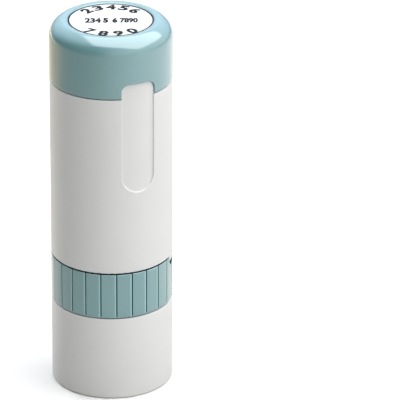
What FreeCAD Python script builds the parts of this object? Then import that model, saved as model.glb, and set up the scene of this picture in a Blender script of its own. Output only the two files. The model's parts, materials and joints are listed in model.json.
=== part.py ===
import FreeCAD, Part
import math
import os

from FreeCAD import Rotation, Vector

os.makedirs("parts", exist_ok=True)

# A round, pre-inked date stamp that stands upright on its dust cover. From the
# bottom up: the dust cover, a ribbed date ring, a plain barrel and a top cap
# with an index label. Inside hang the die, its ink pads and four printing bands.
# Millimetres. Z is up, the base is at z = 0 and the front looks along -Y. An
# angle is measured from the front, towards the right as the stamp is faced.

# the die is a standard round, and the body is built outwards from it
die_radius = 15.875

# outside of the body
cover_height = 29.3
ring_height = 15.8
barrel_height = 61.5
cap_height = 20.3
ring_under_gap = 0.15
ring_over_gap = 0.25
cap_under_gap = 0.2
edge_radius = 0.3
overrun = 1.0

# fits
free_gap = 0.3
running_gap = 0.08
snug_gap = 0.05
thrust_gap = 0.05
side_gap = 0.1

# dust cover and its seal
cover_wall = 1.4
cover_floor = 2.0
cover_base_radius = 0.8
seal_thickness = 1.0
seal_edge_gap = 0.4
seal_bevel = 0.25

# die collar, which stands proud of the die and is pressed back when printing
collar_travel = 4.6
collar_skirt_height = 7.6
collar_skirt_gap = 0.35
collar_wall = 0.7
collar_bore_gap = 0.175
collar_guide_gap = 0.15
collar_stop_gap = 0.4
collar_edge = 0.4
catch_reach = 0.6
catch_gap = 0.15
catch_height = 1.6
lip_height = 1.8

# collar spring
spring_wire = 0.8
spring_turns = 5
spring_steps_per_turn = 24
spring_seat_gap = 0.1

# chassis
spigot_wall = 0.8
flange_overlap = 0.3
flange_height = 1.5
bearing_wall = 1.2
bearing_height = 5.5
clip_height = 0.8
clip_reach = 0.65
clip_below_top = 0.7
clip_groove_depth = 0.55
clip_opening_angle = 30.0

# die, its mount and the ink pads behind it
die_thickness = 2.0
die_relief = 0.5
die_border = 0.6
die_border_margin = 0.3
mount_wall = 1.1
mount_roof = 3.5
filler_radius = 1.4
plug_head_radius = 2.2
plug_head_height = 0.8
plug_length = 3.4

# printing bands
band_thickness = 1.0
day_band_width = 2.6
character_gap = 0.5
character_relief = 0.5
character_margin = 0.3
character_root = 0.2
band_characters = 20
drum_steps = 6
nose_radius = 1.5
band_side_gap = 0.15
drum_gap = 0.25
print_bar_height = 4.6
print_bar_lug_height = 3.2
print_bar_lug_lift = 1.3
print_bar_lug_inset = 0.13

# ink felts that touch up the bands
felt_thickness = 1.1
felt_height = 12.0
felt_gap = 0.17
felt_bottom_lift = 2.4

# date wheels and their axle
axle_radius = 1.2
wheel_rim_reach = 0.93
wheel_rim_width = 1.0
wheel_bore_gap = 0.15
knurl_radius = 0.5
knurl_count = 18
knurl_depth = 0.35
axle_head_radius = 1.9
axle_head_length = 0.8
axle_end = 0.6

# crown gear on the ring and its pinion
crown_teeth = 40
pinion_teeth = 10
tooth_addendum = 0.5
tooth_dedendum = 0.7
crown_face = 2.2
crown_rim = 2.5
crown_below_ring_top = 2.1
crown_web = 1.6
crown_hub_wall = 1.4
crown_lift = 0.3
pinion_face = 2.0
pinion_gap = 1.95
tooth_root = 0.2
crown_pitch_share = 0.32
crown_tip_share = 0.2
pinion_root_share = 0.46
pinion_pitch_share = 0.36
pinion_tip_share = 0.2

# band frame
plate_thickness = 1.0
plate_half_depth = 4.1
well_gap = 0.2
frame_headroom = 1.4
frame_disc_height = 2.4
frame_disc_gap = 0.2
foot_thickness = 1.4
foot_reach = 3.55
screw_radius = 0.7
screw_head_radius = 1.3
screw_head_height = 0.9
screw_slot_width = 0.35
screw_slot_depth = 0.45
screw_length = 6.2
screw_inset = 1.85
screw_spread = 2.4
plate_bottom_lift = 0.5
oring_radius = 0.55
oring_groove_depth = 0.95

# ribbed date ring
ring_wall = 2.15
ring_ledge = 0.75
ring_facets = 24
first_groove_angle = 4.5
groove_depth = 0.34
groove_width = 0.9
notch_angle = 77.5
notch_width = 4.4
notch_depth = 3.1
notch_corner = 1.9
pointer_height = 1.5
pointer_side_gap = 0.12
pointer_foot_angle = 9.0
pointer_foot_wall = 1.3
pointer_foot_top_gap = 0.3

# barrel
barrel_wall = 1.8
neck_height = 10.5
neck_step = 1.15
neck_wall = 1.7
neck_end_wall = 1.6
bulkhead_thickness = 2.0
panel_angle = 26.6
panel_width = 11.43
panel_recess = 0.55
panel_length = 33.1
tongue_height = 4.6
tongue_corner = 2.4
tongue_root = 0.4

# top cap and its label
cap_proud = 0.1
cap_bore_gap = 0.1
cap_roof = 1.6
shoulder_run = 7.1
shoulder_rise = 6.04
inner_shoulder_run = 5.55
inner_shoulder_rise = 4.2
cap_stop_wall = 1.5
cap_stop_height = 3.2
notch_side_gap = 0.2
cap_notch_corner = 2.6
label_to_cap_side = 6.3
label_thickness = 0.3
label_recess = 1.2
label_edge_gap = 0.15

# radii, from the die outwards
collar_bore = die_radius + collar_bore_gap
collar_sleeve_radius = collar_bore + collar_wall
lip_bore = collar_sleeve_radius + collar_guide_gap
catch_radius = collar_sleeve_radius + catch_reach
spigot_bore = catch_radius + catch_gap
spigot_radius = spigot_bore + spigot_wall
cover_bore = spigot_radius + free_gap
body_radius = cover_bore + cover_wall
collar_skirt_radius = cover_bore - collar_skirt_gap
flange_radius = cover_bore + flange_overlap
ring_bore = body_radius - ring_wall
ring_wide_bore = ring_bore + ring_ledge
bearing_radius = ring_bore - running_gap
bearing_bore = bearing_radius - bearing_wall

# heights of the outside
ring_bottom = cover_height + ring_under_gap
ring_top = ring_bottom + ring_height
barrel_bottom = ring_top + ring_over_gap
barrel_top = barrel_bottom + barrel_height
cap_bottom = barrel_top + cap_under_gap
cap_top = cap_bottom + cap_height

# heights of the cover, the collar and the die
seal_top = cover_floor + seal_thickness
collar_bottom = seal_top
die_face = collar_bottom + collar_travel
die_base = die_face + die_relief
die_top = die_face + die_thickness
collar_skirt_top = collar_bottom + collar_skirt_height
spigot_bottom = collar_skirt_top + collar_travel + collar_stop_gap
lip_top = spigot_bottom + lip_height
catch_top = lip_top + catch_height
flange_top = cover_height + flange_height
bearing_top = flange_top + bearing_height
clip_top = bearing_top - clip_below_top
clip_bottom = clip_top - clip_height

# gears and frame, from the ring inwards: the pinion runs just outside the frame's plate
crown_outer_radius = ring_wide_bore - crown_rim
crown_inner_radius = crown_outer_radius - crown_face
crown_pitch_radius = (crown_outer_radius + crown_inner_radius) / 2
pinion_start = crown_pitch_radius - pinion_face / 2
pinion_end = crown_pitch_radius + pinion_face / 2
pinion_pitch_radius = crown_pitch_radius * pinion_teeth / crown_teeth
tooth_pitch = 2 * math.pi * crown_pitch_radius / crown_teeth
crown_tooth_top = ring_top - crown_below_ring_top
crown_plane = crown_tooth_top - tooth_addendum
crown_tooth_root = crown_plane - tooth_dedendum
crown_bottom = bearing_top + crown_lift
axle_z = crown_plane + pinion_pitch_radius
plate_outer = pinion_start - pinion_gap
plate_inner = plate_outer - plate_thickness

# wheels along the axle, mirrored about the middle: the date bands take what the day bands leave
wheels_half_width = plate_inner - side_gap
day_drum_start = side_gap / 2
day_drum_width = day_band_width + 2 * band_side_gap
date_drum_start = day_drum_start + day_drum_width + wheel_rim_width + side_gap
date_drum_width = wheels_half_width - wheel_rim_width - date_drum_start
date_band_width = date_drum_width - 2 * band_side_gap

# band loop: it fits its count of characters between the axle and the print bar
band_bottom = die_face + character_relief
band_inner_bottom = band_bottom + band_thickness
nose_z = band_inner_bottom + nose_radius
nose_neutral_radius = nose_radius + band_thickness / 2
neutral_radius_per_pitch = drum_steps / (2 * math.pi)
straight_pair = 2 * (axle_z - nose_z) - 2 * nose_neutral_radius + math.pi * nose_neutral_radius
character_pitch = straight_pair / (band_characters - (math.pi + 2) * neutral_radius_per_pitch)
character_height = character_pitch - character_gap
band_neutral_radius = character_pitch * neutral_radius_per_pitch
band_inner_radius = band_neutral_radius - band_thickness / 2
band_outer_radius = band_neutral_radius + band_thickness / 2
band_flat_length = 2 * (band_inner_radius - nose_radius)
band_straight_length = axle_z - nose_z
band_length = character_pitch * band_characters
drum_radius = band_inner_radius - drum_gap
wheel_rim_radius = band_outer_radius + character_relief + wheel_rim_reach

# frame, well and mount
felt_start = band_outer_radius + character_relief + felt_gap
well_half_width = plate_outer + well_gap
well_half_depth = felt_start + felt_thickness + felt_gap
window_half_width = date_drum_start + date_drum_width + side_gap
window_half_depth = band_outer_radius + character_relief + free_gap
pad_inner = well_half_depth + mount_wall
pad_radius = die_radius - mount_wall
filler_offset = (pad_inner + pad_radius) / 2
pad_top = cover_height - mount_roof
frame_disc_bottom = axle_z + wheel_rim_radius + frame_headroom
frame_disc_top = frame_disc_bottom + frame_disc_height
barrel_bore = body_radius - barrel_wall
frame_disc_radius = barrel_bore - frame_disc_gap
foot_end = plate_outer + foot_reach
screw_x = plate_outer + screw_inset
screw_top = flange_top + foot_thickness

# barrel and cap
neck_radius = body_radius - neck_step
neck_top = barrel_top + neck_height
panel_floor_radius = body_radius - panel_recess
panel_bottom = barrel_top - panel_length
cap_radius = body_radius + cap_proud
label_radius = cap_radius - label_to_cap_side
cap_bore = neck_radius + cap_bore_gap
label_seat = cap_top - label_recess
tongue_top = barrel_top + tongue_height


def facing(angle):
    """Unit vector that points away from the axis at an angle from the front."""
    turn = math.radians(angle)
    return Vector(math.sin(turn), -math.cos(turn), 0)


def disc(radius, bottom, top):
    return Part.makeCylinder(radius, top - bottom, Vector(0, 0, bottom))


def tube(outer, inner, bottom, top):
    return disc(outer, bottom, top).cut(disc(inner, bottom - overrun, top + overrun))


def block(x_low, x_high, y_low, y_high, z_low, z_high):
    size = (x_high - x_low, y_high - y_low, z_high - z_low)
    return Part.makeBox(*size, Vector(x_low, y_low, z_low))


def bar(radius, x_low, x_high):
    """Round bar along the wheel axle."""
    return Part.makeCylinder(radius, x_high - x_low, Vector(x_low, 0, axle_z), Vector(1, 0, 0))


def turned(edges):
    """Solid of revolution about Z of a closed outline in the XZ plane."""
    face = Part.Face(Part.Wire(edges))
    return face.revolve(Vector(0, 0, 0), Vector(0, 0, 1), 360)


def line(start, end):
    return Part.LineSegment(Vector(start[0], 0, start[1]), Vector(end[0], 0, end[1])).toShape()


def lines(points):
    return [line(start, end) for start, end in zip(points, points[1:])]


def corner(start, middle, end):
    """Arc in the XZ plane through three (radius, height) points."""
    ends = [Vector(point[0], 0, point[1]) for point in (start, middle, end)]
    return Part.Arc(*ends).toShape()


def shoulder(flat_radius, low, run, rise):
    """Quarter of an ellipse in the XZ plane, from the upright wall to the flat top."""
    wall = Vector(flat_radius + run, 0, low)
    crown = Vector(flat_radius, 0, low + rise)
    centre = Vector(flat_radius, 0, low)
    ellipse = Part.Ellipse(wall, crown, centre) if run >= rise else Part.Ellipse(crown, wall, centre)
    ends = sorted([ellipse.parameter(wall), ellipse.parameter(crown)])
    if ends[1] - ends[0] > math.pi:
        ends = [ends[1], ends[0] + 2 * math.pi]
    return Part.ArcOfEllipse(ellipse, ends[0], ends[1]).toShape()


def rounded_tube(outer, inner, bottom, top, bottom_round, top_round):
    """Tube whose two outer edges are rounded."""
    slope = 1 - math.sin(math.pi / 4)
    low = (outer - slope * bottom_round, bottom + slope * bottom_round)
    high = (outer - slope * top_round, top - slope * top_round)
    edges = lines([(inner, top), (inner, bottom), (outer - bottom_round, bottom)])
    edges.append(corner((outer - bottom_round, bottom), low, (outer, bottom + bottom_round)))
    edges.append(line((outer, bottom + bottom_round), (outer, top - top_round)))
    edges.append(corner((outer, top - top_round), high, (outer - top_round, top)))
    edges.append(line((outer - top_round, top), (inner, top)))
    return turned(edges)


def radial_window(angle, half_width, bottom, top, bottom_round, top_round):
    """Prism that points away from the axis: an upright window with rounded corners."""
    out = facing(angle)
    side = Vector(-out.y, out.x, 0)

    def place(across, height):
        return side * across + Vector(0, 0, height)

    edges = []
    start = place(-half_width, bottom + bottom_round)
    slope = math.sin(math.pi / 4)
    if bottom_round > 0:
        middle = place(-half_width + bottom_round * (1 - slope), bottom + bottom_round * (1 - slope))
        end = place(-half_width + bottom_round, bottom)
        edges.append(Part.Arc(start, middle, end).toShape())
        start = end
    if half_width > bottom_round:
        end = place(half_width - bottom_round, bottom)
        edges.append(Part.LineSegment(start, end).toShape())
        start = end
    if bottom_round > 0:
        middle = place(half_width - bottom_round * (1 - slope), bottom + bottom_round * (1 - slope))
        end = place(half_width, bottom + bottom_round)
        edges.append(Part.Arc(start, middle, end).toShape())
        start = end
    end = place(half_width, top - top_round)
    edges.append(Part.LineSegment(start, end).toShape())
    start = end
    if top_round > 0:
        middle = place(half_width - top_round * (1 - slope), top - top_round * (1 - slope))
        end = place(half_width - top_round, top)
        edges.append(Part.Arc(start, middle, end).toShape())
        start = end
    end = place(-half_width + top_round, top)
    edges.append(Part.LineSegment(start, end).toShape())
    start = end
    if top_round > 0:
        middle = place(-half_width + top_round * (1 - slope), top - top_round * (1 - slope))
        end = place(-half_width, top - top_round)
        edges.append(Part.Arc(start, middle, end).toShape())
        start = end
    end = place(-half_width, bottom + bottom_round)
    edges.append(Part.LineSegment(start, end).toShape())
    face = Part.Face(Part.Wire(edges))
    return face.extrude(out * (cap_radius + overrun))


def make_dust_cover():
    """Plain cup that the stamp stands on and that keeps the die from drying."""
    cup = rounded_tube(body_radius, cover_bore, 0, cover_height, cover_base_radius, edge_radius)
    floor = disc(cover_bore, 0, cover_floor)
    return cup.fuse(floor).removeSplitter()


def make_cover_seal():
    """Soft pad with a bevelled rim on the cup's floor; the collar stands on it."""
    radius = cover_bore - seal_edge_gap
    face_radius = radius - seal_bevel
    pad = disc(radius, cover_floor, seal_top - seal_bevel)
    rim = Part.makeCone(radius, face_radius, seal_bevel, Vector(0, 0, seal_top - seal_bevel))
    return pad.fuse(rim).removeSplitter()


def make_collar():
    """Ring round the die that holds it off the paper until it is pressed back."""
    skirt = rounded_tube(
        collar_skirt_radius, collar_bore, collar_bottom, collar_skirt_top, collar_edge, collar_edge
    )
    sleeve = tube(collar_sleeve_radius, collar_bore, collar_bottom, catch_top)
    catch = tube(catch_radius, collar_bore, lip_top, catch_top)
    return skirt.fuse([sleeve, catch]).removeSplitter()


def make_collar_spring():
    """Compression spring between the collar's catch and the chassis flange."""
    radius = (die_radius + spigot_bore) / 2
    start = catch_top + spring_wire / 2 + spring_seat_gap
    rise = cover_height - start - spring_wire / 2 - spring_seat_gap
    steps = spring_turns * spring_steps_per_turn
    sections = []
    for step in range(steps + 1):
        circle = Part.Circle(Vector(radius, 0, start + rise * step / steps), Vector(0, 1, 0), spring_wire / 2)
        section = Part.Wire(circle.toShape())
        section.rotate(Vector(0, 0, 0), Vector(0, 0, 1), 360 * step / spring_steps_per_turn)
        sections.append(section)
    return Part.makeLoft(sections, True, True)


def make_chassis():
    """Carrier of the stamp: spigot for the cover, flange, and bearing for the ring."""
    spigot = tube(spigot_radius, spigot_bore, spigot_bottom, cover_height)
    lip = tube(spigot_radius, lip_bore, spigot_bottom, lip_top)
    flange = disc(flange_radius, cover_height, flange_top)
    bearing = tube(bearing_radius, bearing_bore, flange_top, bearing_top)
    body = flange.fuse([spigot, lip, bearing])
    cutters = [
        block(
            -well_half_width, well_half_width, -well_half_depth, well_half_depth,
            cover_height - overrun, flange_top + overrun,
        ),
        tube(
            bearing_radius + overrun, bearing_radius - clip_groove_depth,
            clip_bottom - thrust_gap, clip_top + thrust_gap,
        ),
    ]
    cutters += [
        Part.makeCylinder(filler_radius, flange_height + 2 * overrun, Vector(0, y, cover_height - overrun))
        for y in (-filler_offset, filler_offset)
    ]
    cutters += screw_holes(cover_height - overrun, flange_top + overrun)
    return body.cut(cutters).removeSplitter()


def screw_places():
    return [(x, y) for x in (-screw_x, screw_x) for y in (-screw_spread, screw_spread)]


def screw_holes(bottom, top):
    radius = screw_radius + snug_gap
    return [Part.makeCylinder(radius, top - bottom, Vector(x, y, bottom)) for x, y in screw_places()]


def make_frame_screws():
    """Four pan-head screws through frame, flange and die mount, as one set."""
    screws = []
    for x, y in screw_places():
        head = Part.makeCylinder(screw_head_radius, screw_head_height, Vector(x, y, screw_top))
        shank = Part.makeCylinder(screw_radius, screw_length, Vector(x, y, screw_top - screw_length))
        slot = block(
            x - screw_head_radius, x + screw_head_radius, y - screw_slot_width / 2, y + screw_slot_width / 2,
            screw_top + screw_head_height - screw_slot_depth, screw_top + screw_head_height + overrun,
        )
        screws.append(head.fuse(shank).removeSplitter().cut(slot))
    return Part.makeCompound(screws)


def make_ring_clip():
    """Open snap ring in the bearing's groove; it keeps the date ring down."""
    clip = tube(bearing_radius + clip_reach, bearing_radius - clip_groove_depth + snug_gap, clip_bottom, clip_top)
    reach = bearing_radius + clip_reach + overrun
    half = reach * math.tan(math.radians(clip_opening_angle / 2))
    start = Vector(0, 0, clip_bottom - overrun)
    corners = [start, start + Vector(-half, reach, 0), start + Vector(half, reach, 0), start]
    wedge = Part.Face(Part.makePolygon(corners)).extrude(Vector(0, 0, clip_height + 2 * overrun))
    return clip.cut(wedge)


def make_die_mount():
    """Block that hangs under the flange, with the band well and two ink rooms."""
    body = disc(die_radius, die_top, cover_height)
    well = block(
        -well_half_width, well_half_width, -well_half_depth, well_half_depth,
        die_top - overrun, cover_height + overrun,
    )
    rooms = [pad_room(sign, pad_inner, pad_radius, die_top - overrun, pad_top) for sign in (-1, 1)]
    fillers = [
        Part.makeCylinder(filler_radius, mount_roof + 2 * overrun, Vector(0, y, pad_top - overrun))
        for y in (-filler_offset, filler_offset)
    ]
    return body.cut([well] + rooms + fillers + screw_holes(screw_top - screw_length, cover_height + overrun))


def pad_room(sign, inner, radius, bottom, top):
    """D-shaped room in front of or behind the band well."""
    room = disc(radius, bottom, top)
    low, high = sorted((sign * inner, sign * (radius + overrun)))
    return room.common(block(-radius, radius, low, high, bottom, top))


def make_ink_pads():
    """Pair of ink-soaked pads that feed the die from behind."""
    return Part.makeCompound([
        pad_room(sign, pad_inner + side_gap, pad_radius - side_gap, die_top, pad_top - side_gap)
        for sign in (-1, 1)
    ])


def make_message_die():
    """Round printing die with a raised border and a window for the date line."""
    base = disc(die_radius, die_base, die_top)
    rim = die_radius - die_border_margin
    border = tube(rim, rim - die_border, die_face, die_base)
    window = block(
        -window_half_width, window_half_width, -window_half_depth, window_half_depth,
        die_face - overrun, die_top + overrun,
    )
    return base.fuse(border).cut(window)


def make_ink_plugs():
    """Two soft plugs that close the filler holes."""
    plugs = []
    for y in (-filler_offset, filler_offset):
        shank = Part.makeCylinder(filler_radius - snug_gap, plug_length, Vector(0, y, flange_top - plug_length))
        head = Part.makeCylinder(plug_head_radius, plug_head_height, Vector(0, y, flange_top))
        plugs.append(shank.fuse(head).removeSplitter())
    return Part.makeCompound(plugs)


def make_band_frame():
    """Two side plates with feet, joined at the top by the disc the barrel sits on."""
    disc_solid = disc(frame_disc_radius, frame_disc_bottom, frame_disc_top)
    pieces = []
    for sign in (-1, 1):
        low, high = sorted((sign * plate_inner, sign * plate_outer))
        pieces.append(block(
            low, high, -plate_half_depth, plate_half_depth, die_top + plate_bottom_lift, frame_disc_bottom,
        ))
        low, high = sorted((sign * plate_inner, sign * foot_end))
        pieces.append(block(low, high, -plate_half_depth, plate_half_depth, flange_top, screw_top))
    frame = disc_solid.fuse(pieces).removeSplitter()
    groove_z = (frame_disc_bottom + frame_disc_top) / 2
    groove = tube(
        frame_disc_radius + overrun, frame_disc_radius - oring_groove_depth,
        groove_z - oring_radius, groove_z + oring_radius,
    )
    axle_hole = bar(axle_radius + running_gap, -plate_outer - overrun, plate_outer + overrun)
    return frame.cut([groove, axle_hole] + screw_holes(flange_top - overrun, screw_top + overrun))


def make_frame_oring():
    """Rubber ring that grips the barrel's bore."""
    centre = Vector(0, 0, (frame_disc_bottom + frame_disc_top) / 2)
    middle_radius = barrel_bore - snug_gap - oring_radius
    return Part.makeTorus(middle_radius, oring_radius, centre)


def make_print_bar():
    """Bar that backs the bands where they print, with a rounded nose."""
    depth = band_inner_radius - snug_gap
    radius = nose_radius - snug_gap
    bottom = band_inner_bottom + snug_gap
    top = bottom + print_bar_height
    slope = radius * (1 - math.sin(math.pi / 4))
    half_width = window_half_width - side_gap

    def place(y, z):
        return Vector(-half_width, y, z)

    edges = [
        Part.Arc(
            place(-depth, bottom + radius), place(-depth + slope, bottom + slope), place(-depth + radius, bottom)
        ).toShape(),
        Part.LineSegment(place(-depth + radius, bottom), place(depth - radius, bottom)).toShape(),
        Part.Arc(
            place(depth - radius, bottom), place(depth - slope, bottom + slope), place(depth, bottom + radius)
        ).toShape(),
        Part.LineSegment(place(depth, bottom + radius), place(depth, top)).toShape(),
        Part.LineSegment(place(depth, top), place(-depth, top)).toShape(),
        Part.LineSegment(place(-depth, top), place(-depth, bottom + radius)).toShape(),
    ]
    nose = Part.Face(Part.Wire(edges)).extrude(Vector(2 * half_width, 0, 0))
    lug_bottom = bottom + print_bar_lug_lift
    lugs = block(
        -plate_inner, plate_inner, print_bar_lug_inset - depth, depth - print_bar_lug_inset,
        lug_bottom, lug_bottom + print_bar_lug_height,
    )
    return nose.fuse(lugs).removeSplitter()


def loop_profile(start, end, inset):
    """Solid of a band's loop, from x = start to x = end, drawn in from the outside."""
    outer = band_outer_radius - inset
    low = band_bottom + inset
    round_radius = nose_radius + band_thickness - inset
    slope = round_radius * (1 - math.sin(math.pi / 4))

    def place(y, z):
        return Vector(start, y, z)

    edges = [
        Part.Arc(place(outer, axle_z), place(0, axle_z + outer), place(-outer, axle_z)).toShape(),
        Part.LineSegment(place(-outer, axle_z), place(-outer, low + round_radius)).toShape(),
        Part.Arc(
            place(-outer, low + round_radius), place(-outer + slope, low + slope), place(-outer + round_radius, low)
        ).toShape(),
        Part.LineSegment(place(-outer + round_radius, low), place(outer - round_radius, low)).toShape(),
        Part.Arc(
            place(outer - round_radius, low), place(outer - slope, low + slope), place(outer, low + round_radius)
        ).toShape(),
        Part.LineSegment(place(outer, low + round_radius), place(outer, axle_z)).toShape(),
    ]
    return Part.Face(Part.Wire(edges)).extrude(Vector(end - start, 0, 0))


def loop_place(distance):
    """Place and outward turn on the band's middle line, from the printing face's middle."""
    half_flat = band_flat_length / 2
    quarter_nose = math.pi * nose_neutral_radius / 2
    distance = distance % band_length
    mirrored = distance > band_length / 2
    along = band_length - distance if mirrored else distance
    if along <= half_flat:
        y, z, turn = along, band_bottom + band_thickness / 2, 0
    elif along <= half_flat + quarter_nose:
        turn = (along - half_flat) / nose_neutral_radius
        y = half_flat + nose_neutral_radius * math.sin(turn)
        z = nose_z - nose_neutral_radius * math.cos(turn)
    elif along <= half_flat + quarter_nose + band_straight_length:
        turn = math.pi / 2
        y = band_neutral_radius
        z = nose_z + along - half_flat - quarter_nose
    else:
        over = (along - half_flat - quarter_nose - band_straight_length) / band_neutral_radius
        turn = math.pi / 2 + over
        y = band_neutral_radius * math.cos(over)
        z = axle_z + band_neutral_radius * math.sin(over)
    if mirrored:
        y, turn = -y, -turn
    return y, z, turn


def make_band(start, width):
    """Endless rubber band with raised characters, drawn as plain blocks."""
    loop = loop_profile(start, start + width, 0).cut(
        loop_profile(start - overrun, start + width + overrun, band_thickness)
    )
    blocks = []
    for step in range(band_characters):
        y, z, turn = loop_place(step * character_pitch)
        depth = character_relief + character_root
        raised = block(
            0, width - 2 * character_margin, -character_height / 2, character_height / 2,
            -band_thickness / 2 - character_relief, -band_thickness / 2 + depth - character_relief,
        )
        spin = Rotation(Vector(1, 0, 0), math.degrees(turn))
        raised.Placement = FreeCAD.Placement(Vector(start + character_margin, y, z), spin)
        blocks.append(raised)
    return loop.fuse(blocks).removeSplitter()


def make_band_felts():
    """Felt strips, in front of and behind the bands, that keep them inked."""
    bottom = die_top + felt_bottom_lift
    felts = []
    for sign in (-1, 1):
        low, high = sorted((sign * felt_start, sign * (felt_start + felt_thickness)))
        felts.append(block(-window_half_width, window_half_width, low, high, bottom, bottom + felt_height))
    return Part.makeCompound(felts)


def make_wheel(sign, start, drum_width, bore):
    """Band drum with a knurled thumb rim on its outer side."""
    ends = sorted((sign * start, sign * (start + drum_width)))
    drum = bar(drum_radius, *ends)
    rim_start = start + drum_width
    ends = sorted((sign * rim_start, sign * (rim_start + wheel_rim_width)))
    rim = bar(wheel_rim_radius, *ends)
    knurls = []
    knurl_centre = wheel_rim_radius + knurl_radius - knurl_depth
    for step in range(knurl_count):
        turn = 2 * math.pi * step / knurl_count
        place = Vector(
            ends[0] - overrun, knurl_centre * math.cos(turn), axle_z + knurl_centre * math.sin(turn)
        )
        knurls.append(Part.makeCylinder(knurl_radius, wheel_rim_width + 2 * overrun, place, Vector(1, 0, 0)))
    rim = rim.cut(knurls)
    reach = wheels_half_width + overrun
    return drum.fuse(rim).removeSplitter().cut(bar(bore, -reach, reach))


def make_wheel_axle():
    """Turned axle that carries the wheels and the pinion."""
    axle = bar(axle_radius, -plate_outer - side_gap - axle_head_length, pinion_end + axle_end)
    head = bar(axle_head_radius, -plate_outer - side_gap - axle_head_length, -plate_outer - side_gap)
    return axle.fuse(head).removeSplitter()


def trapezium(low_half, pitch_half, high_half, low, pitch, high):
    """Outline points of one gear tooth, symmetrical about its middle."""
    return [(-low_half, low), (-pitch_half, pitch), (-high_half, high),
            (high_half, high), (pitch_half, pitch), (low_half, low)]


def make_drive_pinion():
    """Small spur pinion on the axle's end, in mesh with the crown gear."""
    root_radius = pinion_pitch_radius - tooth_dedendum
    body = bar(root_radius, pinion_start, pinion_end)
    points = trapezium(
        tooth_pitch * pinion_root_share / 2, tooth_pitch * pinion_pitch_share / 2,
        tooth_pitch * pinion_tip_share / 2,
        root_radius - tooth_root, pinion_pitch_radius, pinion_pitch_radius + tooth_addendum,
    )
    teeth = []
    for step in range(pinion_teeth):
        corners = [Vector(pinion_start, y, -z) for y, z in points]
        tooth = Part.Face(Part.makePolygon(corners + corners[:1])).extrude(Vector(pinion_face, 0, 0))
        spin = Rotation(Vector(1, 0, 0), 360 * step / pinion_teeth)
        tooth.Placement = FreeCAD.Placement(Vector(0, 0, axle_z), spin)
        teeth.append(tooth)
    gear = body.fuse(teeth).removeSplitter()
    return gear.cut(bar(axle_radius, pinion_start - overrun, pinion_end + overrun))


def make_crown_gear():
    """Face gear pressed into the date ring, with its teeth on top."""
    web = tube(ring_wide_bore, crown_inner_radius - side_gap, crown_tooth_root - crown_web, crown_tooth_root)
    hub = tube(ring_wide_bore, ring_wide_bore - crown_hub_wall, crown_bottom, crown_tooth_root)
    pitch_angle = 2 * math.pi / crown_teeth
    root_share = crown_pitch_share + (crown_pitch_share - crown_tip_share) * tooth_dedendum / tooth_addendum
    teeth = []
    for step in range(crown_teeth):
        ends = []
        for radius in (crown_inner_radius, crown_outer_radius):
            pitch = radius * pitch_angle
            points = trapezium(
                pitch * root_share / 2, pitch * crown_pitch_share / 2, pitch * crown_tip_share / 2,
                crown_tooth_root - tooth_root, crown_plane, crown_tooth_top,
            )
            corners = [Vector(radius, y, z) for y, z in points]
            ends.append(Part.makePolygon(corners + corners[:1]))
        tooth = Part.makeLoft(ends, True, True)
        tooth.rotate(Vector(0, 0, 0), Vector(0, 0, 1), 360 * (step + 1 / 2) / crown_teeth)
        teeth.append(tooth)
    return web.fuse([hub] + teeth).removeSplitter()


def make_date_ring():
    """Ribbed grip ring: flat ribs between upright V grooves, and a notch on its edge."""
    ring = rounded_tube(body_radius, ring_bore, ring_bottom, ring_top, edge_radius, edge_radius)
    wide = disc(ring_wide_bore, clip_bottom - thrust_gap, ring_top + overrun)
    seat = disc(flange_radius + side_gap, ring_bottom - overrun, flange_top + thrust_gap)
    cutters = [wide, seat]
    outside = body_radius + overrun
    half = groove_width / 2 * (outside - body_radius + groove_depth) / groove_depth
    for step in range(ring_facets):
        out = facing(first_groove_angle + 360 * step / ring_facets)
        side = Vector(-out.y, out.x, 0)
        bottom = Vector(0, 0, ring_bottom - overrun)
        corners = [
            out * (body_radius - groove_depth) + bottom,
            out * outside + side * half + bottom,
            out * outside - side * half + bottom,
        ]
        wedge = Part.Face(Part.makePolygon(corners + corners[:1]))
        cutters.append(wedge.extrude(Vector(0, 0, ring_height + 2 * overrun)))
    cutters.append(radial_window(
        notch_angle, notch_width / 2, ring_top - notch_depth, ring_top + overrun, notch_corner, 0,
    ))
    return ring.cut(cutters)


def make_index_pointer():
    """Pale insert in the ring's notch, held from behind by its foot."""
    head_window = radial_window(
        notch_angle, notch_width / 2 - pointer_side_gap, ring_top - pointer_height, ring_top, 0, 0,
    )
    foot_outer = ring_wide_bore - snug_gap
    foot_inner = ring_wide_bore - pointer_foot_wall
    head = head_window.common(tube(body_radius, foot_outer - snug_gap, ring_top - pointer_height, ring_top))
    foot_half = foot_outer * math.sin(math.radians(pointer_foot_angle))
    foot_bottom = crown_tooth_root + snug_gap
    foot_window = radial_window(notch_angle, foot_half, foot_bottom, ring_top - pointer_foot_top_gap, 0, 0)
    foot = foot_window.common(tube(foot_outer, foot_inner, foot_bottom, ring_top - pointer_foot_top_gap))
    return head.fuse(foot).removeSplitter()


def make_barrel():
    """Plain grip barrel, closed at its neck, with a sunk panel and the cap's key."""
    wall = rounded_tube(body_radius, barrel_bore, barrel_bottom, barrel_top, edge_radius, edge_radius)
    neck_bore = neck_radius - neck_wall
    neck = disc(neck_radius, barrel_top - neck_end_wall, neck_top)
    neck = neck.cut(disc(neck_bore, barrel_top - neck_end_wall - overrun, neck_top - neck_end_wall))
    panel = radial_window(
        panel_angle, panel_width / 2, panel_bottom, cap_top, panel_width / 2, 0,
    ).common(tube(body_radius + overrun, panel_floor_radius, barrel_bottom, cap_top))
    tongue = radial_window(
        panel_angle, panel_width / 2, barrel_top - neck_end_wall, tongue_top, 0, tongue_corner,
    ).common(tube(panel_floor_radius, neck_radius - tongue_root, barrel_top - neck_end_wall, tongue_top))
    return wall.cut(panel).fuse([neck, tongue]).removeSplitter()


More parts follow.
